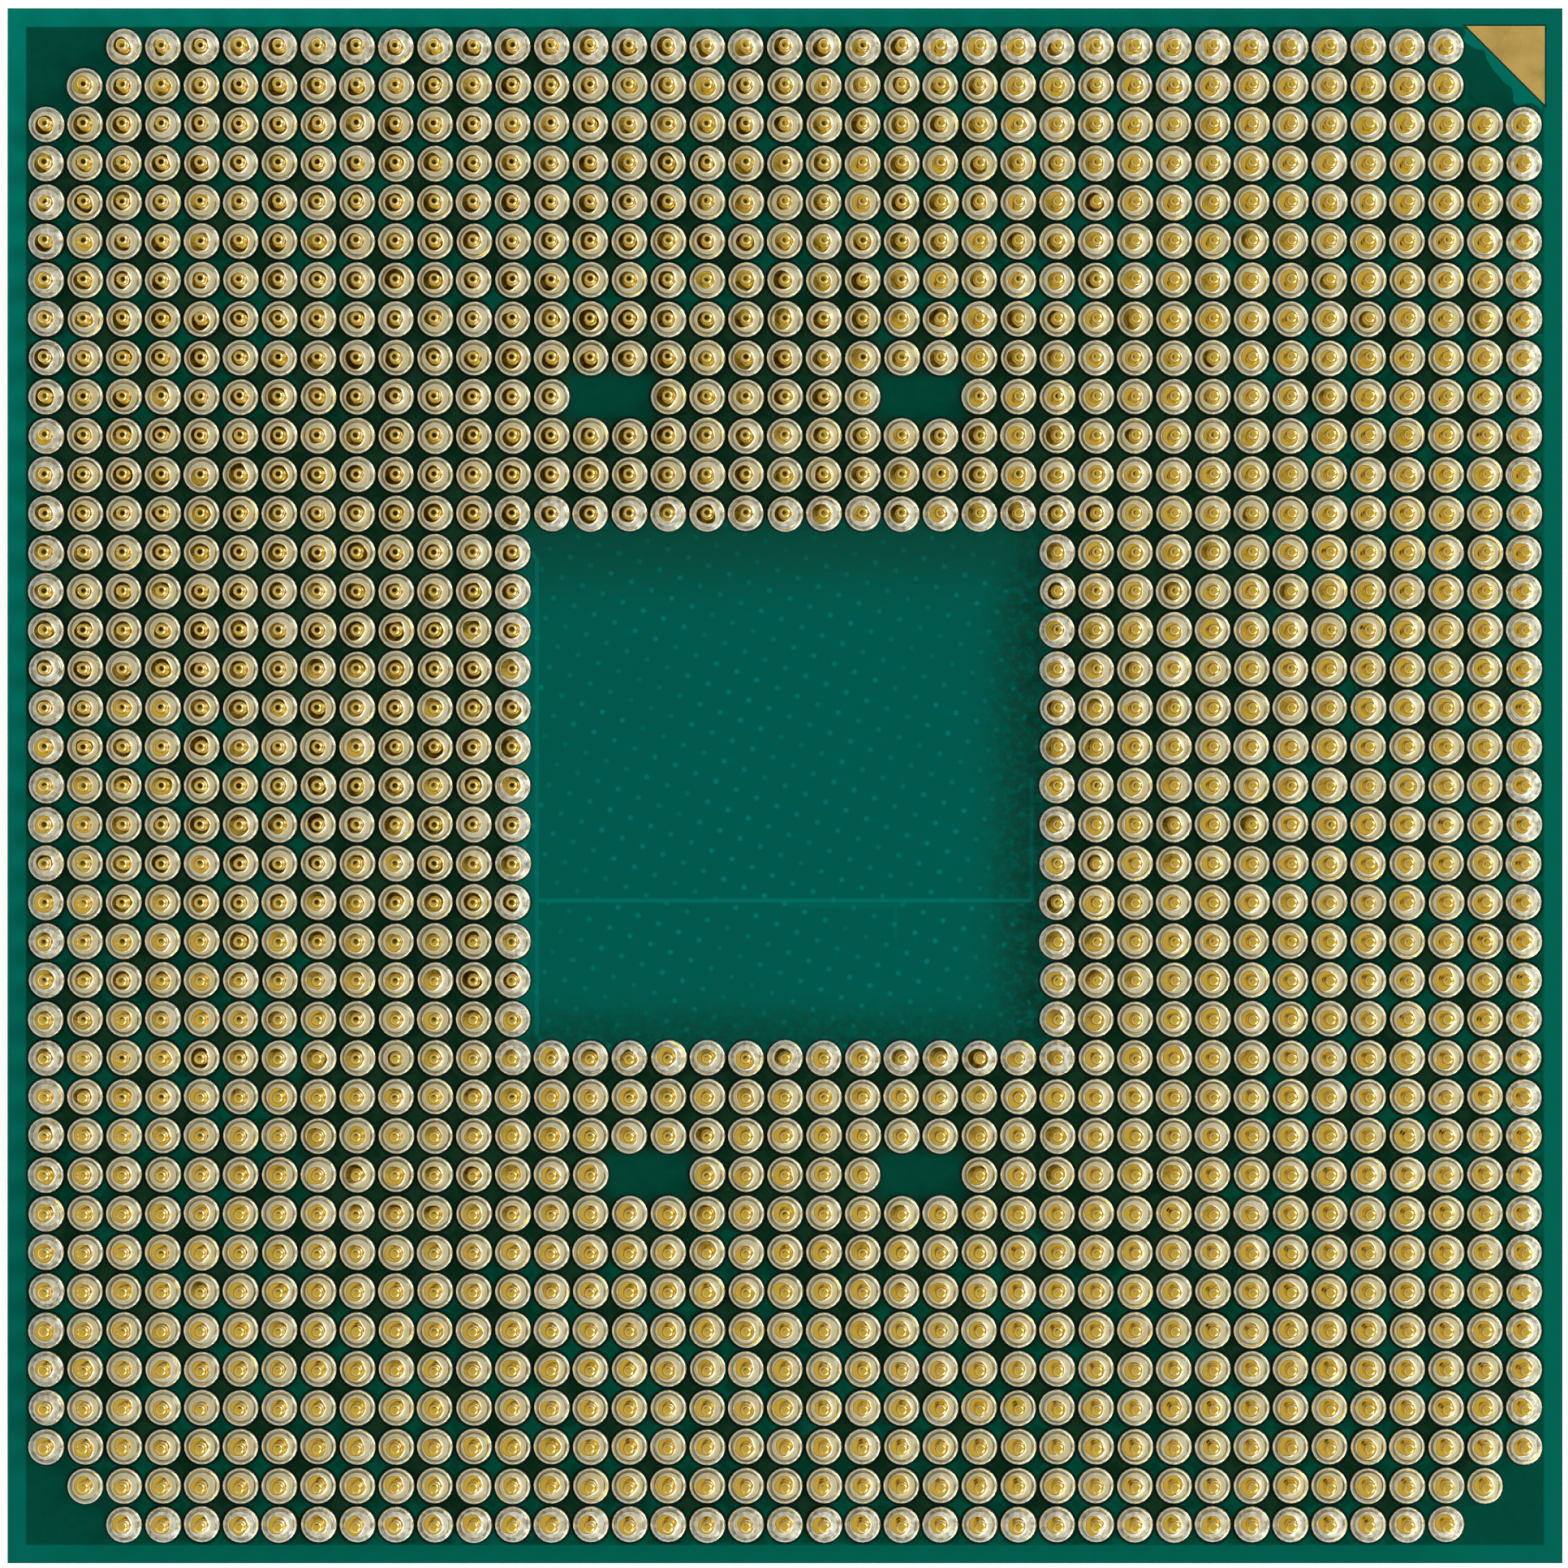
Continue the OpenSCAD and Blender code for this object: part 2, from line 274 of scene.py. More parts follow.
def length_of(tree, x, y):
    squares = math_node(tree, "ADD", math_node(tree, "MULTIPLY", x, x), math_node(tree, "MULTIPLY", y, y))
    return math_node(tree, "SQRT", squares)


def site_distance(tree, place):
    """How far a point is from the middle of the nearest grid place, in millimetres."""
    parts = add(tree, "ShaderNodeSeparateXYZ", {0: place})
    wrapped = [math_node(tree, "WRAP", parts.outputs[i], PITCH / 2, -PITCH / 2) for i in (0, 1)]
    return length_of(tree, *wrapped)


def colour_by_radius(tree, distance, stops):
    """Colours on circles around a site. A stop is (radius in millimetres, colour)."""
    reach = PITCH / 2
    ramp = add(tree, "ShaderNodeValToRGB", {0: math_node(tree, "DIVIDE", distance, reach)})
    elements = ramp.color_ramp.elements
    while len(elements) < len(stops):
        elements.new(0.5)
    for element, (radius, colour) in zip(elements, stops):
        element.position = radius / reach
        element.color = (*colour, 1.0)
    return ramp.outputs[0]


def smooth_range(tree, value, low, high, out_low=0.0, out_high=1.0):
    return add(tree, "ShaderNodeMapRange",
               {"Value": value, "From Min": low, "From Max": high, "To Min": out_low, "To Max": out_high},
               interpolation_type="SMOOTHSTEP").outputs[0]


def blend_colour(tree, factor, first, second):
    node = add(tree, "ShaderNodeMix", {"Factor": factor}, data_type="RGBA")
    for socket, value in ((node.inputs[6], first), (node.inputs[7], second)):
        if isinstance(value, bpy.types.NodeSocket):
            tree.links.new(value, socket)
        else:
            socket.default_value = (*value, 1.0)
    return node.outputs[2]


def noise(tree, place, scale, detail=2.0, roughness=0.5):
    return add(tree, "ShaderNodeTexNoise",
               {"Vector": place, "Scale": scale, "Detail": detail, "Roughness": roughness}).outputs[0]


def new_material(name):
    """A material with a Principled shader, and the place on the object in millimetres."""
    material = bpy.data.materials.new(name)
    material.use_nodes = True
    tree = material.node_tree
    shader = tree.nodes["Principled BSDF"]
    coordinates = add(tree, "ShaderNodeTexCoord").outputs["Object"]
    place = add(tree, "ShaderNodeVectorMath", {0: coordinates, "Scale": 1 / MM}, operation="SCALE")
    return material, tree, shader, place.outputs[0]


def bump(tree, shader, height, distance_mm, strength):
    node = add(tree, "ShaderNodeBump",
               {"Height": height, "Distance": distance_mm * MM, "Strength": strength})
    tree.links.new(node.outputs[0], shader.inputs["Normal"])


def attribute_value(tree, name):
    return add(tree, "ShaderNodeAttribute", attribute_name=name).outputs["Fac"]


def gold_pin_material():
    material, tree, shader, place = new_material("pin_gold_plating")
    tone = attribute_value(tree, "tone")
    tint_shift = attribute_value(tree, "tint_shift")
    colour = blend_colour(tree, noise(tree, place, 7.0, 2.0), GOLD, GOLD_LIGHT)
    colour = blend_colour(tree, product(tree, tone, 0.35), colour, GOLD_DULL)
    # The plating is paler on the tip's edge: partly where sockets have rubbed it, partly a painted sheen
    # that whitens the highlights there
    colour = blend_colour(tree, product(tree, tint_shift, 0.30), colour, GOLD_WORN_SHEEN)
    tree.links.new(colour, shader.inputs["Base Color"])
    shader.inputs["Metallic"].default_value = 1.0
    rough = smooth_range(tree, noise(tree, place, 5.0, 2.0), 0.3, 0.7, 0.045, 0.08)
    tree.links.new(rough, shader.inputs["Roughness"])
    bump(tree, shader, noise(tree, place, 9.0, 1.0), 0.0004, 0.5)
    return material


# A joint's colours by distance from the middle of its site, and the radii that its groove lies between. The
# collar pales towards its rounded outer edge, partly a painted highlight, and the ring darkens on its outer
# side and at its foot with painted shade
JOINT_STOPS = [
    (0.20, COLLAR_INSIDE), (0.30, COLLAR), (0.342, COLLAR_OUTSIDE), (0.388, GROOVE_SIDE),
    (0.404, RING_INSIDE), (0.460, RING), (0.467, RING_OUTSIDE_SHADE), (0.473, RING_FOOT_SHADE),
]
GROOVE = (0.347, 0.378)
# How far the joints' circles of colour stray from round
STRAY = 0.012


def beside_open(tree, place):
    """1 on the joints next to the window and on those in the outermost rows."""
    parts = add(tree, "ShaderNodeSeparateXYZ", {0: place})
    across = math_node(tree, "ABSOLUTE", parts.outputs[0])
    along = math_node(tree, "ABSOLUTE", parts.outputs[1])
    reach = largest(tree, across, along)
    return largest(tree, smooth_range(tree, reach, 7.4, 7.6, 1.0, 0.0),
                   smooth_range(tree, reach, 18.4, 18.6))


def joint_colour(tree, place, distance):
    """Cream on the collar, painted shade in the groove, bright on the outer ring, and more silver on some
    joints: at random, and beside open places as a painted reflection. The lip is paler, partly a painted
    sheen.
    """
    colour = colour_by_radius(tree, distance, JOINT_STOPS)
    # Painted shade in the groove, weaker in patches
    gap = smooth_range(tree, noise(tree, place, 2.6, 2.0), 0.35, 0.58, 0.6, 1.0)
    groove = product(tree, between(tree, distance, *GROOVE, 0.008), gap)
    colour = blend_colour(tree, groove, colour, GROOVE_SHADE)
    clouds = noise(tree, place, 3.0, 3.0)
    colour = blend_colour(tree, clouds, colour, blend_colour(tree, 0.35, colour, SOLDER_CLOUD))
    # Joints beside open places turn silver with grey blotches: a painted reflection of the open
    # surroundings. Elsewhere the tone adds silver at random
    open_side_reflection = beside_open(tree, place)
    tone = attribute_value(tree, "tone")
    silver = math_node(tree, "MULTIPLY_ADD", open_side_reflection, 0.56, product(tree, tone, 0.5))
    blotches = smooth_range(tree, noise(tree, place, 7.0, 3.0, 0.6), 0.42, 0.62)
    grey = blend_colour(tree, product(tree, blotches, open_side_reflection), SOLDER_SILVER, SOLDER_GREY)
    colour = blend_colour(tree, silver, colour, blend_colour(tree, 0.75, colour, grey))
    # The lip is paler: partly a painted sheen that whitens its highlights
    return blend_colour(tree, product(tree, attribute_value(tree, "lip"), 0.5), colour, LIP_PALE)


def joint_material():
    """Solder: a creamy flat collar, a groove darkened with painted shade and a brighter outer ring."""
    material, tree, shader, place = new_material("pin_solder_alloy")
    uneven = math_node(tree, "SUBTRACT", noise(tree, place, 6.0, 2.0), 0.5)
    distance = math_node(tree, "MULTIPLY_ADD", uneven, STRAY, site_distance(tree, place))
    tree.links.new(joint_colour(tree, place, distance), shader.inputs["Base Color"])
    shader.inputs["Metallic"].default_value = 0.85
    # The ring is glossier than the collar, its foot is dull, and the lip shines a little
    on_ring = smooth_range(tree, distance, 0.33, 0.40)
    rough = math_node(tree, "MULTIPLY_ADD", on_ring, -0.20, 0.34)
    rough = math_node(tree, "ADD", rough, smooth_range(tree, distance, 0.457, 0.468, 0.0, 0.35))
    rough = math_node(tree, "MULTIPLY_ADD", attribute_value(tree, "lip"), -0.14, rough)
    tree.links.new(rough, shader.inputs["Roughness"])
    grain = product(tree, noise(tree, place, 6.5, 2.0, 0.5),
                    math_node(tree, "MULTIPLY_ADD", on_ring, -0.7, 1.0))
    bump(tree, shader, grain, 0.015, 0.6)
    return material


def rim_shadow_material():
    # Near-black: a painted contact shadow around each joint
    material, tree, shader, place = new_material("mask_opening_edge_shadow")
    colour = blend_colour(tree, noise(tree, place, 6.0), RIM_SHADOW_DARK, RIM_SHADOW_LIGHT)
    tree.links.new(colour, shader.inputs["Base Color"])
    shader.inputs["Roughness"].default_value = 0.45
    shader.inputs["IOR"].default_value = 1.07
    return material


# The copper plane under the mask ends this far from the middle
PLANE_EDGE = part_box("pin_side_copper")[1][0] / MM
# The marker's long side lies where x + y has this value
MARKER_BOX = corners(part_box("pin_one_marker"))
MARKER_LINE = (MARKER_BOX[0][0] + MARKER_BOX[1][1]) / MM
# The plane's small holes form a square lattice, turned a little
LATTICE_STEP = 0.5635
LATTICE_TURN = math.radians(22.0)
HOLE_R = 0.06
# Gaps that split the plane in the window: across it and down its sides. The left one's top bends outwards.
SPLIT_Y = -2.95
LEFT_SPLIT_X = -6.38
LEFT_SPLIT_TOP = 5.85
BEND_W = 0.35
RIGHT_SPLIT_X = 6.34
SPLIT_HALF = 0.05
# Two fainter gaps below the one that goes across
SMALL_SPLIT_X = 2.85
SMALL_SPLIT_Y = -3.08
WINDOW_HALF = 6.5 * PITCH
# Middles of the empty pairs of sites that key the grid
KEY_GAPS = [(-4.5, 10), (3.5, 10), (-3.5, -10), (3.5, -10)]


def line_mask(tree, value, middle, half_width):
    """1 on a thin line where value is near middle, falling smoothly to 0 beside it."""
    away = math_node(tree, "ABSOLUTE", math_node(tree, "SUBTRACT", value, middle))
    return smooth_range(tree, away, half_width * 0.6, half_width * 1.4, 1.0, 0.0)


def between(tree, value, low, high, soft=0.05):
    rise = smooth_range(tree, value, low - soft, low + soft)
    return product(tree, rise, smooth_range(tree, value, high - soft, high + soft, 1.0, 0.0))


def split_line(tree, strength, beside, middle, run, start, end, half_width=SPLIT_HALF):
    """One gap: a line where beside is near middle, as long as run is between start and end."""
    line = line_mask(tree, beside, middle, half_width)
    return product(tree, line, between(tree, run, start, end), strength)


def split_mask(tree, x, y):
    """Where the gaps in the copper plane show in the window."""
    diagonal = math_node(tree, "ADD", x, y)
    bend_middle = LEFT_SPLIT_X + LEFT_SPLIT_TOP
    return largest(
        tree,
        split_line(tree, 1.0, y, SPLIT_Y, x, LEFT_SPLIT_X, RIGHT_SPLIT_X),
        split_line(tree, 0.8, x, LEFT_SPLIT_X, y, -6.4, LEFT_SPLIT_TOP),
        split_line(tree, 0.8, diagonal, bend_middle, x, LEFT_SPLIT_X - BEND_W, LEFT_SPLIT_X,
                   SPLIT_HALF * 1.4),
        split_line(tree, 0.45, x, RIGHT_SPLIT_X, y, SPLIT_Y, 0.2),
        split_line(tree, 0.25, x, SMALL_SPLIT_X, y, -3.95, SPLIT_Y),
        split_line(tree, 0.25, y, SMALL_SPLIT_Y, x, 0.1, SMALL_SPLIT_X),
    )


def lattice_mask(tree, place):
    """Soft dots on the turned lattice of small holes in the copper plane."""
    turned = add(tree, "ShaderNodeVectorRotate", {"Vector": place, "Angle": LATTICE_TURN},
                 rotation_type="Z_AXIS").outputs[0]
    parts = add(tree, "ShaderNodeSeparateXYZ", {0: turned})
    cell = [math_node(tree, "PINGPONG", parts.outputs[i], LATTICE_STEP / 2) for i in (0, 1)]
    return smooth_range(tree, length_of(tree, *cell), HOLE_R * 0.5, HOLE_R * 1.6, 1.0, 0.0)


def via_cells(tree, x, y):
    """1 in the squares between four sites with a dark group of vias: every third one on each diagonal."""
    steps = math_node(tree, "ADD", math_node(tree, "FLOOR", x), math_node(tree, "FLOOR", y))
    turn = math_node(tree, "FLOORED_MODULO", math_node(tree, "ADD", steps, 1.0), 3.0)
    return math_node(tree, "LESS_THAN", turn, 0.5)


def open_places(tree, x, y, across, along):
    """The corners and the keying gaps, where no pins stand."""
    total = smooth_range(tree, math_node(tree, "ADD", across, along), 34.9, 35.5)
    for middle_x, middle_y in KEY_GAPS:
        gap = product(tree, between(tree, x, middle_x - 1.1, middle_x + 1.1, 0.2),
                      between(tree, y, middle_y - 0.6, middle_y + 0.6, 0.2))
        total = largest(tree, total, gap)
    return total


def window_edges(tree, x, y, mottle):
    """How dark and mottled the window is towards its right, lower and upper edges."""
    near_right = product(tree, smooth_range(tree, x, 4.6, 6.3), smooth_range(tree, mottle, 0.34, 0.56), 0.9)
    near_low = product(tree, smooth_range(tree, y, -6.4, -5.2, 1.0, 0.0),
                       smooth_range(tree, mottle, 0.25, 0.65), 0.7)
    near_top = smooth_range(tree, y, 4.2, 6.3, 0.0, 0.6)
    return largest(tree, near_right, near_low, near_top)


def colour_between_joints(tree, place, x, y, mottle):
    """Teal over the plane, dark over groups of vias and the power area, and clear where no pins stand."""
    across = math_node(tree, "ABSOLUTE", x)
    along = math_node(tree, "ABSOLUTE", y)
    reach = largest(tree, across, along)
    power = math_node(tree, "MULTIPLY_ADD", noise(tree, place, 0.25, 2.0), -9.0, reach)
    power = smooth_range(tree, power, 7.4, 8.4, 1.0, 0.0)
    band = product(tree, between(tree, y, 2.0, 9.4, 0.4), smooth_range(tree, x, -12.0, -7.0, 1.0, 0.0))
    dark_part = largest(tree, power, band, via_cells(tree, x, y))
    dark_part = product(tree, dark_part, smooth_range(tree, reach, 18.6, 19.0, 1.0, 0.0))
    fine = smooth_range(tree, noise(tree, place, 1.7, 3.0, 0.6), 0.35, 0.65)
    teal = blend_colour(tree, fine, TEAL_DARK, TEAL_LIGHT)
    brown = blend_colour(tree, fine, VIAS_DARK, VIAS_LIGHT)
    colour = blend_colour(tree, product(tree, dark_part, 0.92), teal, brown)
    shadow = smooth_range(tree, site_distance(tree, place), 0.495, 0.555, 0.8, 0.0)
    colour = blend_colour(tree, shadow, colour, JOINT_SHADOW)
    clear = open_places(tree, x, y, across, along)
    return blend_colour(tree, clear, colour, blend_colour(tree, mottle, CLEAR_DARK, CLEAR_LIGHT))


def strip_colour(tree, place, x, y):
    """The strip along the edges, with no copper under it, is lighter, most of all towards -X +Y."""
    corner_way = smooth_range(tree, math_node(tree, "SUBTRACT", y, x), -8.0, 40.0)
    strip = blend_colour(tree, corner_way, STRIP_DARK, STRIP_LIGHT)
    clouds = smooth_range(tree, noise(tree, place, 0.9, 3.0), 0.3, 0.8, 0.0, 0.4)
    return blend_colour(tree, clouds, strip, STRIP_CLOUD)


def beside_marker(tree, place, x, y, reach, colour):
    """Lighter lobes of mask along the marker's long side, and a thin dark line around the marker: a painted
    shadow along the mask's edge.
    """
    diagonal = math_node(tree, "SUBTRACT", MARKER_LINE, math_node(tree, "ADD", x, y))
    lobes = math_node(tree, "MULTIPLY_ADD", noise(tree, place, 1.4, 1.0), -1.5, diagonal)
    halo = product(tree, smooth_range(tree, lobes, -0.36, -0.30, 1.0, 0.0),
                   smooth_range(tree, reach, PLANE_EDGE - 0.1, PLANE_EDGE, 1.0, 0.0))
    colour = blend_colour(tree, halo, colour, MASK_LOBE)
    away = largest(tree, math_node(tree, "SUBTRACT", x, MARKER_BOX[1][0] / MM),
                   math_node(tree, "SUBTRACT", y, MARKER_BOX[1][1] / MM),
                   math_node(tree, "MULTIPLY", diagonal, math.sqrt(0.5)))
    # A painted shadow line around the marker
    line = smooth_range(tree, away, 0.03, 0.06, 0.85, 0.0)
    return blend_colour(tree, line, colour, MARKER_EDGE_SHADOW)


def pin_mask_material():
    material, tree, shader, place = new_material("pin_side_solder_mask")
    parts = add(tree, "ShaderNodeSeparateXYZ", {0: place})
    x, y = parts.outputs[0], parts.outputs[1]
    reach = largest(tree, math_node(tree, "ABSOLUTE", x), math_node(tree, "ABSOLUTE", y))
    in_grid = smooth_range(tree, reach, WINDOW_HALF + 0.25, WINDOW_HALF + 0.65)
    outside = smooth_range(tree, reach, PLANE_EDGE - 0.03, PLANE_EDGE + 0.03)
    mottle = noise(tree, place, 4.5, 5.0, 0.7)

    edges = window_edges(tree, x, y, mottle)
    window = blend_colour(tree, noise(tree, place, 0.2, 2.0), WINDOW_DARK, WINDOW_LIGHT)
    window = blend_colour(tree, edges, window, WINDOW_EDGE)
    colour = blend_colour(tree, in_grid, window, colour_between_joints(tree, place, x, y, mottle))
    colour = blend_colour(tree, outside, colour, strip_colour(tree, place, x, y))
    colour = beside_marker(tree, place, x, y, reach, colour)

    # In the window, holes in the plane show as faint dots, and gaps as fine lines
    faint = smooth_range(tree, noise(tree, place, 0.45, 2.0), 0.25, 0.75, 0.3, 1.0)
    dots = product(tree, lattice_mask(tree, place), faint, inverse(tree, in_grid), inverse(tree, edges))
    colour = blend_colour(tree, dots, colour, PLANE_HOLE)
    colour = blend_colour(tree, product(tree, split_mask(tree, x, y), 0.5), colour, PLANE_SPLIT)

    tree.links.new(colour, shader.inputs["Base Color"])
    shader.inputs["IOR"].default_value = 1.04
    shader.inputs["Roughness"].default_value = 0.3
    bump(tree, shader, noise(tree, place, 3.0, 3.0), 0.004, 0.4)
    return material


def marker_material():
    material, tree, shader, place = new_material("marker_gold")
    smudge = smooth_range(tree, noise(tree, place, 1.3, 3.0), 0.40, 0.72)
    colour = blend_colour(tree, smudge, MARKER_GOLD, MARKER_SMUDGE)
    parts = add(tree, "ShaderNodeSeparateXYZ", {0: place})
    # Darker in patches towards +X
    tint_shift = smooth_range(tree, noise(tree, place, 0.7, 4.0, 0.65), 0.52, 0.68)
    tint_shift = product(tree, tint_shift, smooth_range(tree, parts.outputs[0], 17.8, 18.6), 0.8)
    colour = blend_colour(tree, tint_shift, colour, MARKER_DARKER)
    grain = noise(tree, place, 30.0, 2.0)
    colour = blend_colour(tree, grain, colour, blend_colour(tree, 0.2, colour, MARKER_GRAIN))
    tree.links.new(colour, shader.inputs["Base Color"])
    shader.inputs["Metallic"].default_value = 0.8
    shader.inputs["Roughness"].default_value = 0.5
    bump(tree, shader, grain, 0.004, 0.6)
    return material


def plain_material(name, dark, light, scale, roughness, metallic=0.0):
    """A quiet two-tone material for the pieces that hardly show."""
    material, tree, shader, place = new_material(name)
    colour = blend_colour(tree, noise(tree, place, scale, 3.0), dark, light)
    tree.links.new(colour, shader.inputs["Base Color"])
    shader.inputs["Metallic"].default_value = metallic
    shader.inputs["Roughness"].default_value = roughness
    bump(tree, shader, noise(tree, place, scale * 4, 3.0), 0.004, 0.5)
    return material


def nickel_material():
    material, tree, shader, place = new_material("nickel_plating")
    stretched = add(tree, "ShaderNodeMapping", {"Vector": place, "Scale": (0.4, 14.0, 1.0)}).outputs[0]
    grain = noise(tree, stretched, 2.0, 4.0)
    clouds = noise(tree, place, 0.15, 3.0)
    colour = blend_colour(tree, clouds, NICKEL_DARK, NICKEL_LIGHT)
    tree.links.new(colour, shader.inputs["Base Color"])
    shader.inputs["Metallic"].default_value = 1.0
    rough = smooth_range(tree, grain, 0.3, 0.7, 0.26, 0.40)
    tree.links.new(rough, shader.inputs["Roughness"])
    bump(tree, shader, grain, 0.004, 0.5)
    return material


# ---- Pieces that are finer than the CAD solids ----

def patch_radius(random, count):
    """The edge of the bare gold around each pin: an uneven ring, wider on the -X side."""
    offset = random.normal(0.058, 0.016, (count, 1))
    around = TURN - (np.pi + random.normal(0.1, 0.35, (count, 1)))
    radius = random.normal(0.224, 0.014, (count, 1)) + offset * np.cos(around)
    radius = radius + wobble(random, count, 0.024, (2, 3, 4, 5))
    return np.clip(radius, SHAFT_R + PATCH_LEAST, PATCH_MOST)


def build_joint(name, sites, edge, random):
    """Each joint: an outer ring of solder, a groove, and a flat collar up to the bare gold."""
    count = len(sites)
    swell = wobble(random, count, 0.004, (1, 2, 3, 5))
    rise = wobble(random, count, 0.005, (1, 2, 3, 4))
    sink = random.normal(0, 0.004, (count, 1))
    lip_height = random.uniform(0.4, 1.4, (count, 1)) * np.ones(SIDES)
    top = COLLAR_H
    outer_ring = [
        (0.4670, 0.0), (0.4690 + swell * 0.3, 0.030), (0.4680 + swell * 0.4, 0.064),
        (0.4625 + swell * 0.6, 0.095 + rise * 0.5), (0.4520 + swell, 0.115 + rise),
        (0.4380 + swell, 0.126 + rise), (0.4220 + swell, 0.128 + rise), (0.4060 + swell, 0.121 + rise),
        (0.3910 + swell, 0.108 + rise * 0.5),
    ]
    groove = [(0.3770, 0.096 + sink), (0.3660, 0.092 + sink), (0.3560, 0.100)]
    collar = [
        (0.3490, 0.120), (0.3430, 0.140), (0.3370, top - 0.004), (0.3310, top), (0.3285, top),
        (np.minimum(edge + 0.040, 0.327), top),
    ]
    lip = [
        (np.minimum(edge + 0.026, 0.326), top + 0.005 * lip_height),
        (edge + 0.014, top + 0.011 * lip_height), (edge + 0.005, top + 0.008 * lip_height),
        (edge, top - 0.006), (edge - 0.001, top - 0.026),
    ]
    rings = outer_ring + groove + collar + lip
    on_lip = np.zeros((1, len(rings), 1))
    on_lip[:, -len(lip):] = 1.0
    # The solder's outer part is never quite centred, but the collar's edge keeps to the bare gold
    outer_part = len(outer_ring) + len(groove)
    centres = np.zeros((count, len(rings), 2))
    centres[:, :outer_part] = random.normal(0, 0.006, (count, 1, 2)).clip(-0.012, 0.012)
    tone = random.beta(1.2, 4.0, count)
    values = [("tone", tone[:, None, None]), ("lip", on_lip)]
    return ring_mesh(name, rings_to_points(sites, rings, centres), values=values)


def tip_drop(radius):
    """How far a tip's rounded edge has dropped at a radius."""
    round_part = max(radius - TIP_FLAT_R, 0) / (SHAFT_R - TIP_FLAT_R)
    return TIP_EDGE * (1 - math.sqrt(1 - round_part ** 2))


def build_pins(name, sites, edge, random):
    """Each pin: the bare part of its flat head, a tight fillet, the shaft and a slightly domed tip."""
    count = len(sites)
    foot = edge - 0.002
    fillet_r = np.minimum(foot - 0.004, SHAFT_R + 0.014)
    fall = HEAD_SLOPE * (foot - fillet_r)
    head = [
        (foot, HEAD_H - 0.012 - fall), (foot - 0.001, HEAD_H - fall), (foot - 0.003, HEAD_H - fall),
        (fillet_r + 0.001, HEAD_H), (fillet_r, HEAD_H),
    ]
    fillet = []
    for share in (0.72, 0.45, 0.2, 0.0):
        climb = (1 - math.sqrt(1 - (1 - share) ** 2)) * 0.02
        fillet.append((SHAFT_R + (fillet_r - SHAFT_R) * share, HEAD_H + climb))
    shaft = [(SHAFT_R, HEAD_H + 0.09), (SHAFT_R, TIP_HEIGHT - 0.075)]
    dome = random.uniform(0.6, 2.4, (count, 1)) * DOME
    tip = [(radius, TIP_HEIGHT - dome * radius ** 4 - tip_drop(radius)) for radius in TIP_RADII]
    rings = head + fillet + shaft + tip
    first_tip = len(rings) - len(tip)
    lean = random.normal(0, 0.005, (count, 2))
    heights = np.array([np.mean(height) for _, height in rings])
    centres = lean[:, None, :] * (heights / TIP_HEIGHT)[None, :, None]
    points = rings_to_points(sites, rings, centres)
    # Heads and tips are never quite level
    for tilt, first, last in ((HEAD_TILT, 1, len(head)), (TIP_TILT, first_tip, len(rings))):
        slope = random.normal(0, tilt, (count, 2))
        offset = points[:, first:last, :, :2] - sites[:, None, None, :] * PITCH * MM
        points[:, first:last, :, 2] += np.einsum("nrsk,nk->nrs", offset, slope)
    points[..., 2] = np.minimum(points[..., 2], (MASK_TOP + TIP_HEIGHT) * MM)
    tone = random.beta(1.2, 3.0, count)
    # The tip's outer rings are paler: partly socket wear, partly a painted sheen that whitens their
    # highlights
    tint_shift = np.zeros((1, len(rings), 1))
    tint_shift[:, first_tip:first_tip + WORN_SHEEN_RINGS] = 1.0
    return ring_mesh(name, points, values=[("tone", tone[:, None, None]), ("tint_shift", tint_shift)])


def build_rims(name, sites):
    """The mask's raised rim around each joint, coloured near-black as a painted contact shadow."""
    rings = [(0.4680, 0.0), (0.474, 0.005), (0.488, 0.004), (0.4975, 0.0)]
    return ring_mesh(name, rings_to_points(sites, rings[::-1]), hollow=True)


def build_grid():
    """All joints, pins and rims in their bands, and the four corner pins apart from them."""
    gold = gold_pin_material()
    alloy = joint_material()
    rim = rim_shadow_material()
    random = np.random.default_rng(RANDOM_SEED)
    corner_sites = {tuple(site) for site in sites_of("corner_pins")}
    corner_edges = {}
    for band in BANDS:
        sites = sites_of("solder_joints_band_" + band)
        edge = patch_radius(random, len(sites))
        joints = build_joint("solder_joints_" + band, sites, edge, random)
        finish_piece(joints, "pin_solder", alloy, "solder_joints_band_" + band)
        at_corner = np.array([tuple(site) in corner_sites for site in sites])
        corner_edges.update({tuple(site): edge[i] for i, site in enumerate(sites) if at_corner[i]})
        pins = build_pins("pins_" + band, sites[~at_corner], edge[~at_corner], random)
        finish_piece(pins, "pin_gold", gold, "pins_band_" + band)
        rims = build_rims("mask_opening_shadows_" + band, sites)
        finish_piece(rims, "solder_mask", rim)
    places = sorted(corner_edges)
    edges = np.array([corner_edges[place] for place in places])
    pins = build_pins("corner_pins_fine", np.array(places), edges, random)
    finish_piece(pins, "pin_gold", gold, "corner_pins")


def dress(names, material):
    """Gives CAD nodes a new material on their own slots."""
    for name in names:
        for slot in NODES[name].material_slots:
            slot.material = material


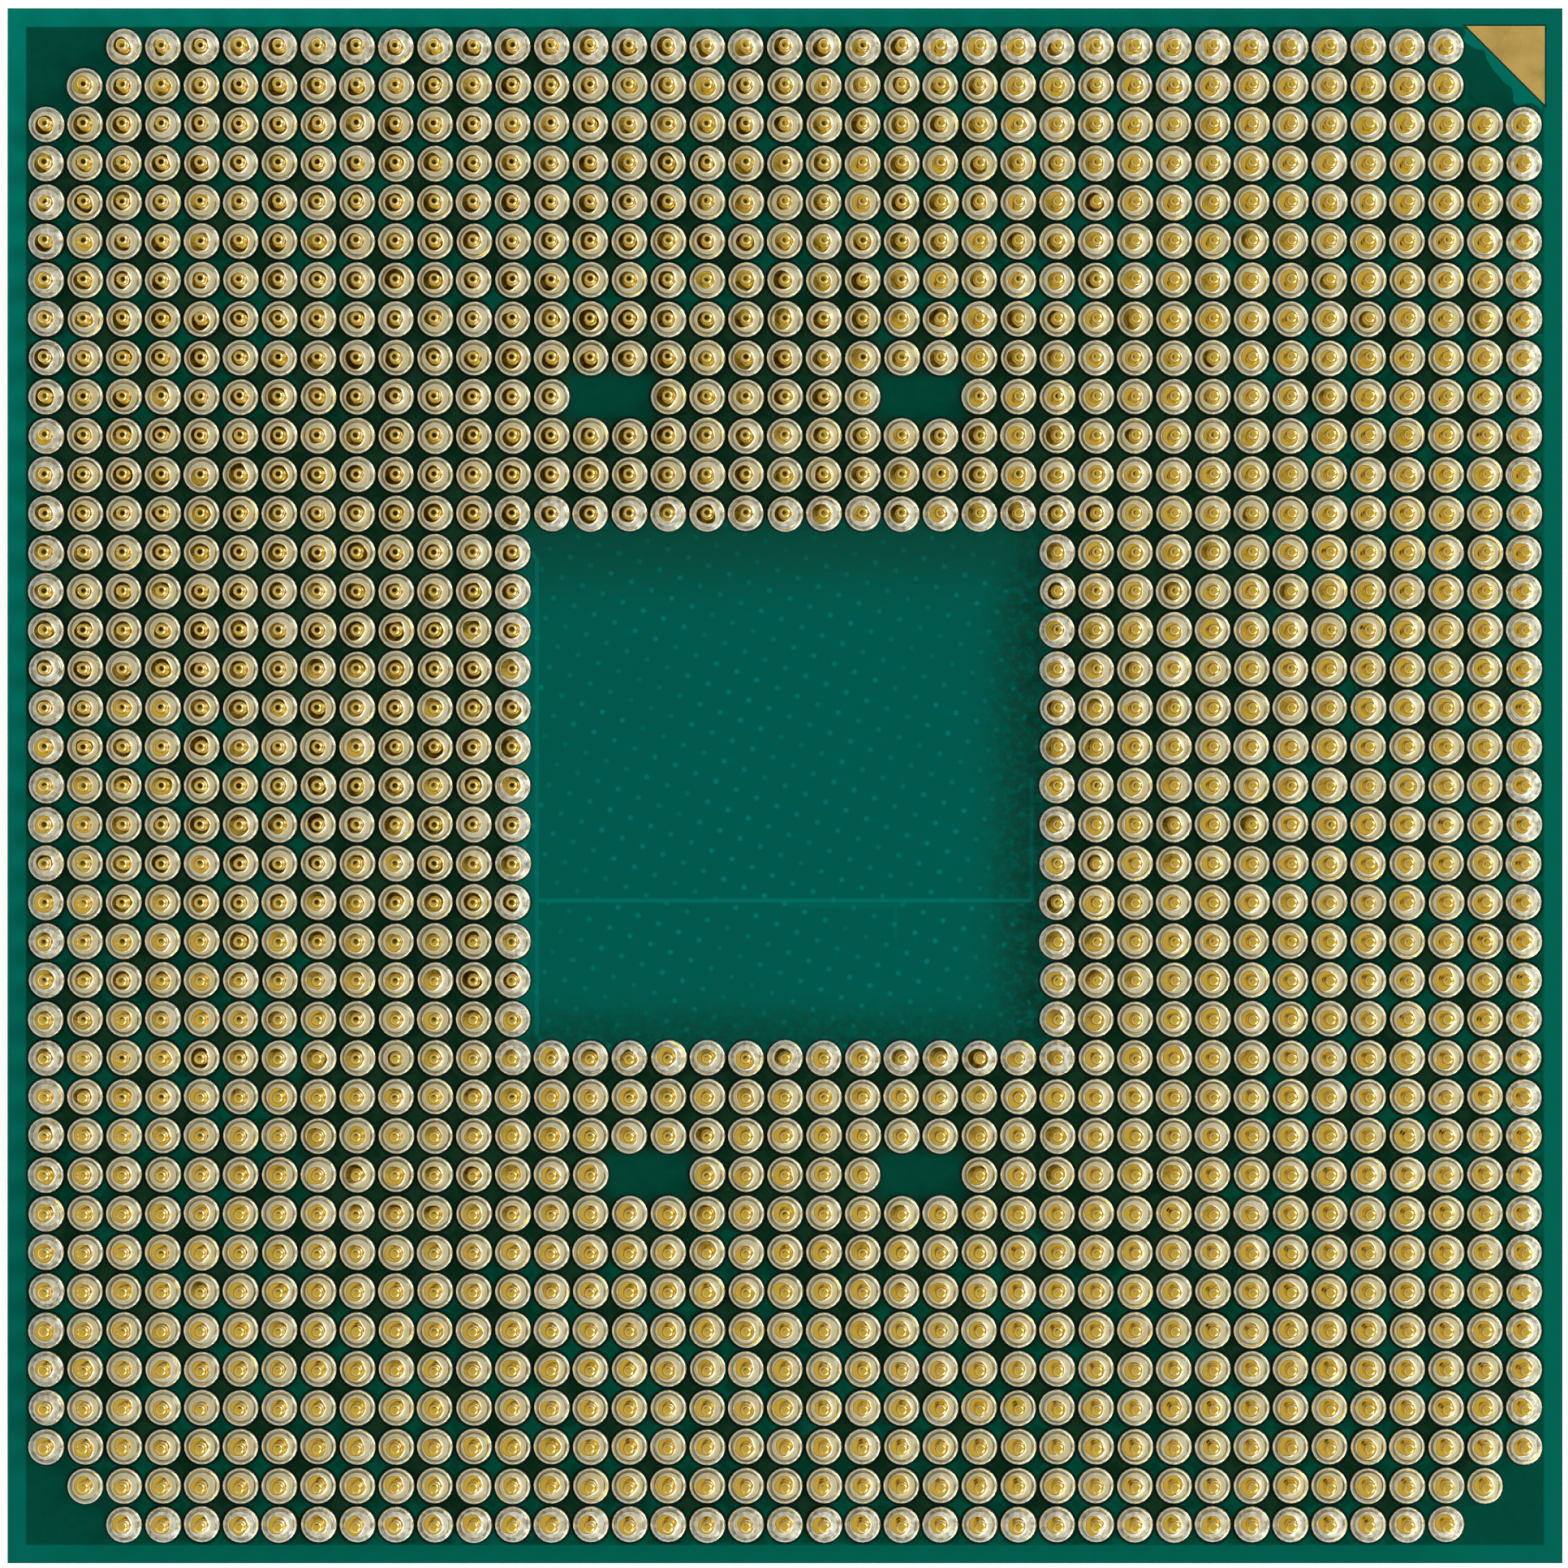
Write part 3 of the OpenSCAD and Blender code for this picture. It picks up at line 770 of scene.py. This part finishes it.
def dress_nodes():
    dress(["pin_side_mask"], pin_mask_material())
    dress(["pin_one_marker", "lid_side_marker"], marker_material())
    dress(["heat_spreader"], nickel_material())
    dress(["lid_side_mask"],
          plain_material("lid_side_mask_green", (0.001, 0.07, 0.045), (0.001, 0.12, 0.09), 0.4, 0.35))
    dress(["pin_side_buildup", "lid_side_buildup"],
          plain_material("build_up_resin", (0.02, 0.07, 0.03), (0.04, 0.11, 0.05), 1.5, 0.6))
    dress(["substrate_core"],
          plain_material("core_glass_fibre", (0.14, 0.16, 0.05), (0.27, 0.26, 0.11), 3.0, 0.65))
    dress(["pin_side_copper", "lid_side_copper"],
          plain_material("copper_foil", (0.55, 0.25, 0.13), (0.75, 0.40, 0.24), 2.0, 0.4, 1.0))
    dress(["lid_sealant"],
          plain_material("black_adhesive", (0.012, 0.012, 0.014), (0.03, 0.03, 0.034), 2.0, 0.5))
    dress(["compute_die", "io_die"],
          plain_material("silicon", (0.05, 0.052, 0.06), (0.09, 0.095, 0.11), 0.5, 0.12, 0.6))
    dress(["compute_thermal_solder", "io_thermal_solder"],
          plain_material("thermal_solder_metal", (0.55, 0.55, 0.56), (0.7, 0.7, 0.7), 1.0, 0.4, 1.0))
    dress(["compute_die_bumps", "io_die_bumps", "capacitor_solder"],
          plain_material("solder_metal", (0.5, 0.49, 0.46), (0.65, 0.63, 0.6), 4.0, 0.35, 1.0))
    dress(["compute_underfill", "io_underfill"],
          plain_material("underfill_epoxy", (0.01, 0.012, 0.018), (0.03, 0.034, 0.045), 1.0, 0.3))
    dress(["capacitor_bodies"],
          plain_material("capacitor_ceramic_brown", (0.22, 0.14, 0.07), (0.34, 0.23, 0.13), 6.0, 0.6))
    dress(["capacitor_terminals"],
          plain_material("tin_plating", (0.55, 0.54, 0.51), (0.7, 0.69, 0.66), 6.0, 0.35, 1.0))


# ---- Stage ----

# The width of the camera's view at the mask, its height above the mask, and the point under it
FIELD_W = 40.33 * MM
CAMERA_AWAY = 0.40
AIM = (-0.027 * MM, 0.045 * MM)
# The camera sensor's width in millimetres
SENSOR = 36.0
# The dark lens above the pins, as a direction from them and a reach, both as slopes from straight up
LENS_AT = (-0.030, 0.025)
LENS_REACH = 0.041
LENS_SOFT = 0.004
LENS_COLOUR = (0.02, 0.012, 0.008)
# Directions lower than this show no lens
LOWEST_Z = 0.05
# How bright the room is by height, as (position from straight down to straight up, level)
ROOM_LEVELS = [(0.0, 0.45), (0.5, 0.80), (0.62, 0.92), (0.80, 1.0), (1.0, 0.92)]
ROOM_TINT = (1.0, 0.99, 0.965)
ROOM_PALE = (1.3, 1.3, 1.28)
ROOM_STRENGTH = 0.73
# Two alike soft lights at the right, by azimuth in degrees. Lengths are in metres and power in watts.
LIGHTS = {"light_right_up": 26, "light_right_down": -44}
LIGHT_ELEVATION = 45
LIGHT_AWAY = 0.6
LIGHT_W = 0.24
LIGHT_H = 0.44
LIGHT_POWER = 1.62
FLOOR_HALF = 1.5


def build_camera():
    camera = bpy.data.objects.new("camera", bpy.data.cameras.new("camera"))
    camera.location = (*AIM, MASK_TOP * MM + CAMERA_AWAY)
    camera.data.sensor_width = SENSOR
    camera.data.lens = SENSOR * CAMERA_AWAY / FIELD_W
    camera.data.clip_start = 0.01
    camera.data.clip_end = 20.0
    bpy.context.scene.collection.objects.link(camera)
    bpy.context.scene.camera = camera


def build_light(name, azimuth):
    data = bpy.data.lights.new(name, "AREA")
    data.shape = "RECTANGLE"
    data.size = LIGHT_W
    data.size_y = LIGHT_H
    data.energy = LIGHT_POWER
    light = bpy.data.objects.new(name, data)
    turn = math.radians(azimuth)
    tilt = math.radians(LIGHT_ELEVATION)
    way = Vector((math.cos(turn) * math.cos(tilt), math.sin(turn) * math.cos(tilt), math.sin(tilt)))
    place = way * LIGHT_AWAY
    light.location = place
    light.rotation_euler = place.to_track_quat("Z", "Y").to_euler()
    bpy.context.scene.collection.objects.link(light)


def lens_patch(tree, x, y, z):
    """1 in the directions where the dark lens is."""
    height = math_node(tree, "MAXIMUM", z, LOWEST_Z)
    dx = math_node(tree, "SUBTRACT", math_node(tree, "DIVIDE", x, height), LENS_AT[0])
    dy = math_node(tree, "SUBTRACT", math_node(tree, "DIVIDE", y, height), LENS_AT[1])
    away = length_of(tree, dx, dy)
    dark = smooth_range(tree, away, LENS_REACH - LENS_SOFT, LENS_REACH + LENS_SOFT, 1.0, 0.0)
    return math_node(tree, "MULTIPLY", dark, math_node(tree, "GREATER_THAN", z, LOWEST_Z))


def build_world():
    """A pale room with a dark patch overhead, where the camera's lens is."""
    world = bpy.data.worlds.new("studio")
    bpy.context.scene.world = world
    world.use_nodes = True
    tree = world.node_tree
    background = tree.nodes["Background"]
    direction = add(tree, "ShaderNodeTexCoord").outputs["Generated"]
    x, y, z = add(tree, "ShaderNodeSeparateXYZ", {0: direction}).outputs
    ramp = add(tree, "ShaderNodeValToRGB", {0: math_node(tree, "MULTIPLY_ADD", z, 0.5, 0.5)})
    ramp.color_ramp.interpolation = "EASE"
    while len(ramp.color_ramp.elements) < len(ROOM_LEVELS):
        ramp.color_ramp.elements.new(0.5)
    for element, (position, level) in zip(ramp.color_ramp.elements, ROOM_LEVELS):
        element.position = position
        element.color = (*(level * part for part in ROOM_TINT), 1.0)
    # The room is dimmer towards -X +Y and paler towards +X -Y
    side = math_node(tree, "SUBTRACT", x, y)
    shade = smooth_range(tree, side, -1.3, -0.4, 0.72, 1.0)
    room = add(tree, "ShaderNodeVectorMath", {0: ramp.outputs[0], "Scale": shade}, operation="SCALE")
    paler = smooth_range(tree, side, -1.0, 1.2, 0.0, 0.3)
    colour = blend_colour(tree, paler, room.outputs[0], ROOM_PALE)
    colour = blend_colour(tree, lens_patch(tree, x, y, z), colour, LENS_COLOUR)
    tree.links.new(colour, background.inputs["Color"])
    background.inputs["Strength"].default_value = ROOM_STRENGTH


def build_floor():
    mesh = bpy.data.meshes.new("floor")
    level = CAD_BOUNDS[0][2]
    places = [(-1, -1), (1, -1), (1, 1), (-1, 1)]
    mesh.from_pydata([(x * FLOOR_HALF, y * FLOOR_HALF, level) for x, y in places], [], [(0, 1, 2, 3)])
    floor = bpy.data.objects.new("floor", mesh)
    bpy.context.scene.collection.objects.link(floor)
    material, _, shader, _ = new_material("floor_white")
    shader.inputs["Base Color"].default_value = (0.9, 0.9, 0.9, 1.0)
    shader.inputs["Roughness"].default_value = 0.8
    shader.inputs["Emission Color"].default_value = (1.0, 1.0, 1.0, 1.0)
    shader.inputs["Emission Strength"].default_value = 0.6
    mesh.materials.append(material)


build_camera()
build_world()
build_floor()
for light_name, light_azimuth in LIGHTS.items():
    build_light(light_name, light_azimuth)
build_grid()
dress_nodes()
scene = bpy.context.scene
scene.view_settings.view_transform = "Standard"
